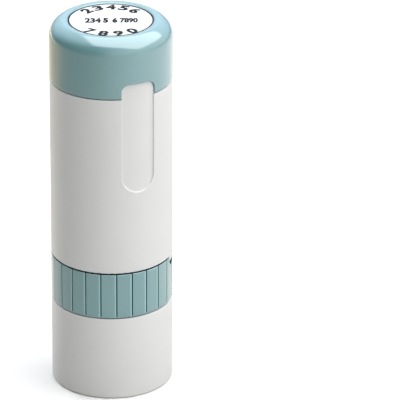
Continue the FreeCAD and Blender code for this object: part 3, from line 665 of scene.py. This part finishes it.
def add_figures(bm, figures, width, height, place, weight, slices=0):
    """Add a run of figures of a given width and height in millimetres, centred on a place."""
    curve = bpy.data.curves.new("figures", "FONT")
    curve.body = figures
    curve.align_x = "CENTER"
    curve.size = 1.0
    curve.resolution_u = 3
    curve.offset = weight
    holder = bpy.data.objects.new("figures", curve)
    bpy.context.scene.collection.objects.link(holder)
    bpy.context.view_layer.update()
    flat = bpy.data.meshes.new_from_object(holder.evaluated_get(bpy.context.evaluated_depsgraph_get()))
    low = Vector([min(vert.co[axis] for vert in flat.vertices) for axis in range(3)])
    high = Vector([max(vert.co[axis] for vert in flat.vertices) for axis in range(3)])
    size = high - low
    fit = Matrix.Diagonal((width * MM / size.x, height * MM / size.y, 1, 1))
    flat.transform(fit @ Matrix.Translation(-(low + high) / 2))
    run = bmesh.new()
    run.from_mesh(flat)
    for cut in range(slices):
        bmesh.ops.bisect_plane(
            run, geom=run.verts[:] + run.edges[:] + run.faces[:], dist=CUT_TOLERANCE * MM,
            plane_co=(0, height * MM * ((cut + 1) / (slices + 1) - 0.5), 0), plane_no=(0, 1, 0),
        )
    run.to_mesh(flat)
    run.free()
    flat.transform(place)
    bm.from_mesh(flat)
    bpy.data.objects.remove(holder)
    bpy.data.curves.remove(curve)
    bpy.data.meshes.remove(flat)


def add_arcs(bm, top_radius, foot_radius, width, height, weight):
    """Add an arc of upright figures above the middle and one below it."""
    for row, reach, radius in (
        (TOP_FIGURES, TOP_REACH, top_radius), (FOOT_FIGURES, FOOT_REACH, -foot_radius),
    ):
        for index, figure in enumerate(row):
            angle = reach * (2 * index / (len(row) - 1) - 1)
            spoke = Matrix.Rotation(math.radians(angle if radius < 0 else -angle), 4, "Z")
            add_figures(bm, figure, width, height, spoke @ Matrix.Translation((0, radius * MM, 0)), weight)


def thicken(bm, thickness):
    """Give a flat mesh a thickness upwards."""
    made = bmesh.ops.extrude_face_region(bm, geom=bm.faces[:] + bm.edges[:] + bm.verts[:])
    verts = [item for item in made["geom"] if isinstance(item, bmesh.types.BMVert)]
    bmesh.ops.translate(bm, vec=(0, 0, thickness * MM), verts=verts)


# %% Label card and its print
CARD_TOP = top_of("index_label")
BORDER_GAP = 0.04
BORDER_RADIUS = LABEL_RADIUS - BORDER_GAP
BORDER_WIDTH = 0.52
ARC_RADIUS = 11.0
ARC_FOOT_RADIUS = 11.5
ARC_WIDTH = 3.3
ARC_HEIGHT = 4.1
ROW_HEIGHT = 4.1
ROW_PLACE = -0.4
ARC_WEIGHT = 0.046
PRINT_WEIGHT = 0.054
BOLD_WEIGHT = 0.07
ROW_FIGURES = (
    ("234", -5.8, 5.2, PRINT_WEIGHT), ("5", -1.65, 1.7, BOLD_WEIGHT), ("6", 1.3, 1.7, BOLD_WEIGHT),
    ("7890", 5.8, 5.8, PRINT_WEIGHT),
)

label_card = turn("label_disc", [
    (0, bottom_of("index_label"), 0), (LABEL_RADIUS, bottom_of("index_label"), 0.05),
    (LABEL_RADIUS, CARD_TOP, 0.08), (0, CARD_TOP, 0),
], closed=False)
sharpen(label_card)
dress(label_card, "cap", "label_card", "index_label")

bm = bmesh.new()
for radius in (BORDER_RADIUS - BORDER_WIDTH, BORDER_RADIUS):
    bmesh.ops.create_circle(bm, segments=TURN_STEPS, radius=radius * MM)
bmesh.ops.bridge_loops(bm, edges=bm.edges[:])
add_arcs(bm, ARC_RADIUS, ARC_FOOT_RADIUS, ARC_WIDTH, ARC_HEIGHT, ARC_WEIGHT)
for figures, across, width, weight in ROW_FIGURES:
    place = Matrix.Translation((across * MM, ROW_PLACE * MM, 0))
    add_figures(bm, figures, width, ROW_HEIGHT, place, weight)
bmesh.ops.translate(bm, vec=(0, 0, CARD_TOP * MM), verts=bm.verts)
thicken(bm, FIGURE_THICKNESS)
label_print = make_object("label_print", bm)
sharpen(label_print)
print_ink = speckled(
    "print_ink", (0.006, 0.006, 0.007), 0.2, (0.6, 0.75), 900, 5000, 0.000001, specular=0.15,
)
dress(label_print, "cap", "label_card", finish=print_ink)

# %% [markdown]
# ## Date bands
# Inside run four endless rubber bands with raised figures, which a wheel moves on one by one. The
# solids carry a plain block in each figure's place. Here each band becomes a smooth belt, bridged
# between an outer and an inner outline, and its figures are laid out flat beside a ruler and then
# wrapped round it. Seen from outside they are mirrored, as on any stamp, so that they print right.

# %% Belt of a date band
BAND_THICKNESS = 1.0
BAND_RELIEF = 0.5
BAND_LOW = bottom_of("message_die") + BAND_RELIEF
BAND_AXLE = 46.4
BAND_PITCH = 4.896
BAND_STEPS = 20
DRUM_RADIUS = 4.675
NOSE_RADIUS = 2.0
BAND_SUNK = 0.05
FIGURE_SLICES = 5
BAND_WEIGHT = 0.02


def add_belt(bm, start, end):
    """Belt from x = start to x = end, round the axle above and the print bar below."""
    for inset in (0, BAND_THICKNESS):
        half = DRUM_RADIUS + BAND_THICKNESS / 2 - inset
        nose = NOSE_RADIUS + BAND_THICKNESS / 2 - inset
        low = BAND_LOW + inset
        crest = half * NEARLY_FULL
        outline(bm, [
            (-half, low, nose), (half, low, nose),
            (half, BAND_AXLE + half, crest), (-half, BAND_AXLE + half, crest),
        ], closed=True, segments=16)
    bmesh.ops.bridge_loops(bm, edges=bm.edges[:])
    bmesh.ops.rotate(bm, cent=(0, 0, 0), matrix=Matrix.Rotation(math.pi / 2, 3, "Z"), verts=bm.verts)
    bmesh.ops.translate(bm, vec=(start * MM, 0, 0), verts=bm.verts)
    made = bmesh.ops.extrude_face_region(bm, geom=bm.verts[:] + bm.edges[:] + bm.faces[:])
    moved = [item for item in made["geom"] if isinstance(item, bmesh.types.BMVert)]
    bmesh.ops.translate(bm, vec=((end - start) * MM, 0, 0), verts=moved)


def wrap(bm):
    """Wrap a flat layout round the belt: Y runs along it and Z stands out from its middle line."""
    flat_end = (DRUM_RADIUS - NOSE_RADIUS) * MM
    nose_end = flat_end + math.pi / 2 * NOSE_RADIUS * MM
    straight_end = nose_end + (BAND_AXLE - BAND_LOW - BAND_THICKNESS / 2 - NOSE_RADIUS) * MM
    length = BAND_STEPS * BAND_PITCH * MM
    for vert in bm.verts:
        distance = vert.co.y % length
        side = -1 if distance > length / 2 else 1
        along = length - distance if side < 0 else distance
        out = vert.co.z
        if along < flat_end:
            place = (along, (BAND_LOW + BAND_THICKNESS / 2) * MM - out)
        elif along < nose_end:
            swing = (along - flat_end) / (NOSE_RADIUS * MM)
            reach = NOSE_RADIUS * MM + out
            nose_height = (BAND_LOW + BAND_THICKNESS / 2 + NOSE_RADIUS) * MM
            place = (flat_end + reach * math.sin(swing), nose_height - reach * math.cos(swing))
        elif along < straight_end:
            climb = BAND_AXLE * MM - (straight_end - along)
            place = (DRUM_RADIUS * MM + out, climb)
        else:
            swing = (along - straight_end) / (DRUM_RADIUS * MM)
            reach = DRUM_RADIUS * MM + out
            place = (reach * math.cos(swing), BAND_AXLE * MM + reach * math.sin(swing))
        vert.co = (vert.co.x, side * place[0], place[1])


# %% Four bands and their figures
inked_rubber = speckled(
    "inked_rubber", (0.02, 0.025, 0.11), 0.3, (0.4, 0.6), 300, 2600, 0.00002,
)
digits = [str(step % 10) for step in range(BAND_STEPS)]
for node, figures, figure_width, figure_height in (
    ("month_band", ["%02d" % (step % 12 + 1) for step in range(BAND_STEPS)], 4.4, 3.7),
    ("tens_band", digits, 1.9, 3.7),
    ("units_band", digits, 1.9, 3.7),
    ("year_band", [str(2020 + step) for step in range(BAND_STEPS)], 5.0, 3.2),
):
    low, high = (corner.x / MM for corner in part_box(node))
    bm = bmesh.new()
    add_belt(bm, low, high)
    belt = make_object(node + "_belt", bm)
    sharpen(belt)
    dress(belt, "cartridge", "band_rubber", node)
    bm = bmesh.new()
    for step, figure in enumerate(figures):
        place = Matrix.Translation(((low + high) / 2 * MM, step * BAND_PITCH * MM, 0))
        add_figures(bm, figure, figure_width, figure_height, place, BAND_WEIGHT, FIGURE_SLICES)
    bmesh.ops.translate(bm, vec=(0, 0, (BAND_THICKNESS / 2 - BAND_SUNK) * MM), verts=bm.verts)
    thicken(bm, BAND_RELIEF + BAND_SUNK)
    wrap(bm)
    raised = make_object(node + "_figures", bm)
    sharpen(raised)
    dress(raised, "cartridge", "band_rubber", finish=inked_rubber)

# %% Figures on the message die
DIE_FACE = bottom_of("message_die")
DIE_LIFT = 0.02
DIE_ARC_RADIUS = 12.0
DIE_FIGURE_WIDTH = 2.7
DIE_FIGURE_HEIGHT = 3.5
DIE_WEIGHT = 0.03
bm = bmesh.new()
add_arcs(bm, DIE_ARC_RADIUS, DIE_ARC_RADIUS, DIE_FIGURE_WIDTH, DIE_FIGURE_HEIGHT, DIE_WEIGHT)
bmesh.ops.translate(bm, vec=(0, 0, (DIE_FACE + DIE_LIFT) * MM), verts=bm.verts)
thicken(bm, BAND_RELIEF)
die_figures = make_object("die_figures", bm)
sharpen(die_figures)
dress(die_figures, "cartridge", "die_rubber", finish=inked_rubber)

# %% [markdown]
# ## Softer edges inside
# Moulded and turned parts have no knife edges. The solids of the inner parts have the right shape,
# so each is copied, its loose triangles are merged and joined into flat faces, and its sharp edges
# get a small bevel. The bevel may overrun on short edges, so where it would, it is held back.

# %% Copies with a bevel
FLAT_ANGLE = 0.6
EDGE_ANGLE = 30
SHADE_ANGLE = 35
SOFT_EDGES = {
    "chassis": 0.15, "die_collar": 0.15, "band_frame": 0.15, "crown_gear": 0.06, "drive_pinion": 0.08,
    "month_wheel": 0.08, "tens_wheel": 0.08, "units_wheel": 0.08, "year_wheel": 0.08,
    "index_pointer": 0.15, "message_die": 0.1, "die_mount": 0.12, "frame_screws": 0.1,
    "ink_plugs": 0.15, "barrel_bulkhead": 0.15, "cover_seal": 0.1, "ring_clip": 0.1,
    "wheel_axle": 0.15, "ink_pads": 0.3, "band_felts": 0.2,
}
HELD_BACK = {
    "die_collar", "message_die", "ink_plugs", "barrel_bulkhead", "cover_seal", "ring_clip",
    "wheel_axle", "ink_pads", "band_felts", "crown_gear", "drive_pinion", "month_wheel",
    "tens_wheel", "units_wheel", "year_wheel",
}
BODY_OF = {
    node: body for body, carried in frame["record"]["behaviour"]["bodies"].items() for node in carried
}


def soften(node, body, slot, width, held_back):
    """Copy of a CAD node with its sharp edges bevelled, in the node's place."""
    bm = bmesh.new()
    bm.from_mesh(nodes[node].data)
    bmesh.ops.remove_doubles(bm, verts=bm.verts, dist=MERGE_DISTANCE * MM)
    bmesh.ops.dissolve_limit(
        bm, angle_limit=math.radians(FLAT_ANGLE), use_dissolve_boundaries=False,
        verts=bm.verts, edges=bm.edges, delimit=set(),
    )
    edges = [
        edge for edge in bm.edges
        if edge.is_manifold and edge.calc_face_angle(0) > math.radians(EDGE_ANGLE)
    ]
    bmesh.ops.bevel(
        bm, geom=edges, offset=width * MM, offset_type="OFFSET", segments=2,
        profile=0.5, affect="EDGES", material=-1, clamp_overlap=held_back,
    )
    piece = make_object(node + "_moulded", bm)
    sharpen(piece, SHADE_ANGLE)
    dress(piece, body, slot, node)


for part in frame["record"]["subparts"]:
    width = SOFT_EDGES.get(part["node"])
    if width:
        soften(part["node"], BODY_OF[part["node"]], part["material_slot"], width, part["node"] in HELD_BACK)

# %% [markdown]
# ## Collar spring
# The spring is pressed together when the collar goes up. Its coils are a merged copy of the
# solid's, with a mesh of their own.

# %% Coils of the collar spring
COIL_ANGLE = 50
bm = bmesh.new()
bm.from_mesh(nodes["collar_spring"].data)
spring_coils = make_object("spring_coils", bm)
sharpen(spring_coils, COIL_ANGLE)
dress(spring_coils, "cartridge", "spring_steel", "collar_spring")
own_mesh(spring_coils)

# %% [markdown]
# ## Studio
# The photograph is a cut-out on white. The camera stands in front and looks down on the cap
# through a long lens. A big softbox above and to the right gives the shoulder its broad
# highlight and the barrel its fall-off towards the left. The other lamps only fill, and draw no
# highlight. What else the gloss shows is a room: pale to the right, blue behind and above, and
# dim to the left, over a floor that gloss sees white to the right and beige and darker to the left,
# which is painted shade. Gloss alone sees it, so the shells keep their own colour.

# %% Camera
IMAGE_SIZE = 400
FOCAL_PIXELS = 4149
SENSOR = 36.0
CAMERA_PLACE = (-0.0002, -1.2382, 0.627)
LOOKS_DOWN = 24.49
HEADING = -1.35
ROLL = 0.301

camera_data = bpy.data.cameras.new("camera")
camera_data.sensor_width = SENSOR
camera_data.lens = FOCAL_PIXELS * SENSOR / IMAGE_SIZE
camera_data.clip_start = 0.05
camera = bpy.data.objects.new("camera", camera_data)
camera_turn = (
    Matrix.Rotation(math.radians(HEADING), 4, "Z")
    @ Matrix.Rotation(math.radians(90 - LOOKS_DOWN), 4, "X")
    @ Matrix.Rotation(math.radians(ROLL), 4, "Z")
)
camera.matrix_world = Matrix.Translation(CAMERA_PLACE) @ camera_turn
bpy.context.scene.collection.objects.link(camera)
bpy.context.scene.camera = camera
print("lens", round(camera_data.lens, 1), "mm")


# %% Lights
def softbox(name, place, target, width, height, power, mirrored=True):
    """Rectangular light that looks at a target; one that isn't mirrored draws no highlight."""
    data = bpy.data.lights.new(name, "AREA")
    data.shape = "RECTANGLE"
    data.size = width
    data.size_y = height
    data.energy = power
    lamp = bpy.data.objects.new(name, data)
    lamp.visible_glossy = mirrored
    lamp.location = place
    lamp.rotation_euler = (Vector(target) - Vector(place)).to_track_quat("-Z", "Y").to_euler()
    bpy.context.scene.collection.objects.link(lamp)
    return lamp


overhead = softbox("overhead_box", (0.268, 0.0, 0.883), (0, 0, 0.1), 1.58, 1.3, 16.5)
across = Vector((0.928, -0.113, -0.354)).normalized()
along = Vector((0.123, 0.992, 0.006))
away = across.cross(along).normalized()
along = away.cross(across)
overhead_turn = Matrix((across, along, away)).transposed().to_4x4()
overhead.matrix_world = Matrix.Translation(overhead.location) @ overhead_turn
softbox("side_box", (1.1, -0.45, 0.2), (0, 0, 0.06), 0.7, 0.7, 2.9, mirrored=False)
softbox("left_rim_box", (-0.7, 0.9, 0.25), (0, 0, 0.06), 0.5, 0.8, 13.5, mirrored=False)
softbox("front_fill", (0.0, -1.6, 0.3), (0, 0, 0.06), 0.8, 0.5, 6.1, mirrored=False)

# %% World and floor
world = bpy.data.worlds.new("studio")
bpy.context.scene.world = world
world.use_nodes = True
tree = world.node_tree
path = tree.nodes.new("ShaderNodeLightPath")


def background(strength, colour=(1, 1, 1)):
    node = tree.nodes.new("ShaderNodeBackground")
    node.inputs["Color"].default_value = (*colour, 1)
    node.inputs["Strength"].default_value = strength
    return node


def choose(factor, no, yes):
    """Mix of two shaders in the tree that is being built."""
    node = tree.nodes.new("ShaderNodeMixShader")
    tree.links.new(factor, node.inputs["Fac"])
    tree.links.new(no.outputs[0], node.inputs[1])
    tree.links.new(yes.outputs[0], node.inputs[2])
    return node


surround = background(0.02)
left_room = background(0.03)
right_room = background(1.3)
back_room = background(0.6, (0.5, 0.85, 1.3))
high_room = background(1.75, (0.78, 0.95, 1.15))
backdrop = background(1.0)
place = tree.nodes.new("ShaderNodeTexCoord")
parts = tree.nodes.new("ShaderNodeSeparateXYZ")
tree.links.new(place.outputs["Generated"], parts.inputs["Vector"])
low_room = choose(spread(tree, parts.outputs["X"], 0, 1, -0.4, 0.5), left_room, right_room)
low_room = choose(spread(tree, parts.outputs["Y"], 0, 1, 0.4, 0.95), low_room, back_room)
lift = tree.nodes.new("ShaderNodeVectorMath")
lift.operation = "DOT_PRODUCT"
lift.inputs[1].default_value = (0, 0.5, 1)
tree.links.new(place.outputs["Generated"], lift.inputs[0])
room = choose(spread(tree, lift.outputs["Value"], 0, 1, 0.36, 0.9), low_room, high_room)
indoors = choose(path.outputs["Is Glossy Ray"], surround, room)
seen = choose(path.outputs["Is Camera Ray"], indoors, backdrop)
tree.links.new(seen.outputs[0], tree.nodes["World Output"].inputs["Surface"])

FLOOR_RADIUS = 3.0
FLOOR_SEEN = (0.97, 0.97, 0.97)
FLOOR_DIFFUSE = (0.43, 0.43, 0.43)
# Painted shade: the floor that gloss sees is darker and beige to the left, away from the lamps; the camera
# sees it evenly white.
FLOOR_SHADE_LEFT_FRONT = (0.44, 0.42, 0.36)
FLOOR_SHADE_LEFT_BACK = (0.64, 0.52, 0.33)
bm = bmesh.new()
bmesh.ops.create_circle(bm, cap_ends=True, segments=96, radius=FLOOR_RADIUS)
floor = make_object("floor", bm)
floor_paper, tree, shader, place = node_material("floor_paper")
path = tree.nodes.new("ShaderNodeLightPath")
parts = tree.nodes.new("ShaderNodeSeparateXYZ")
tree.links.new(place, parts.inputs["Vector"])
across_floor = spread(tree, parts.outputs["X"], 0, 1, -0.2, 0.2)
behind = spread(tree, parts.outputs["Y"], 0, 1, 0.0, 0.12)
shaded_left_floor = blend_colours(tree, behind, FLOOR_SHADE_LEFT_FRONT, FLOOR_SHADE_LEFT_BACK)
mirrored = blend_colours(tree, across_floor, shaded_left_floor, FLOOR_SEEN)
paper = blend_colours(tree, path.outputs["Is Glossy Ray"], FLOOR_DIFFUSE, mirrored)
paper = blend_colours(tree, path.outputs["Is Camera Ray"], paper, FLOOR_SEEN)
tree.links.new(paper, shader.inputs["Base Color"])
tree.links.new(spread(tree, noise(tree, place, 40), 0.6, 0.8), shader.inputs["Roughness"])
distance = tree.nodes.new("ShaderNodeVectorMath")
distance.operation = "LENGTH"
tree.links.new(place, distance.inputs[0])
far_seen = tree.nodes.new("ShaderNodeMath")
far_seen.operation = "MULTIPLY"
tree.links.new(spread(tree, distance.outputs["Value"], 0, 1, 0.3, 0.6), far_seen.inputs[0])
tree.links.new(path.outputs["Is Camera Ray"], far_seen.inputs[1])
glow = tree.nodes.new("ShaderNodeEmission")
fade = choose(far_seen.outputs["Value"], shader, glow)
tree.links.new(fade.outputs[0], tree.nodes["Material Output"].inputs["Surface"])
floor.data.materials.append(floor_paper)

bpy.context.scene.view_settings.view_transform = "Standard"
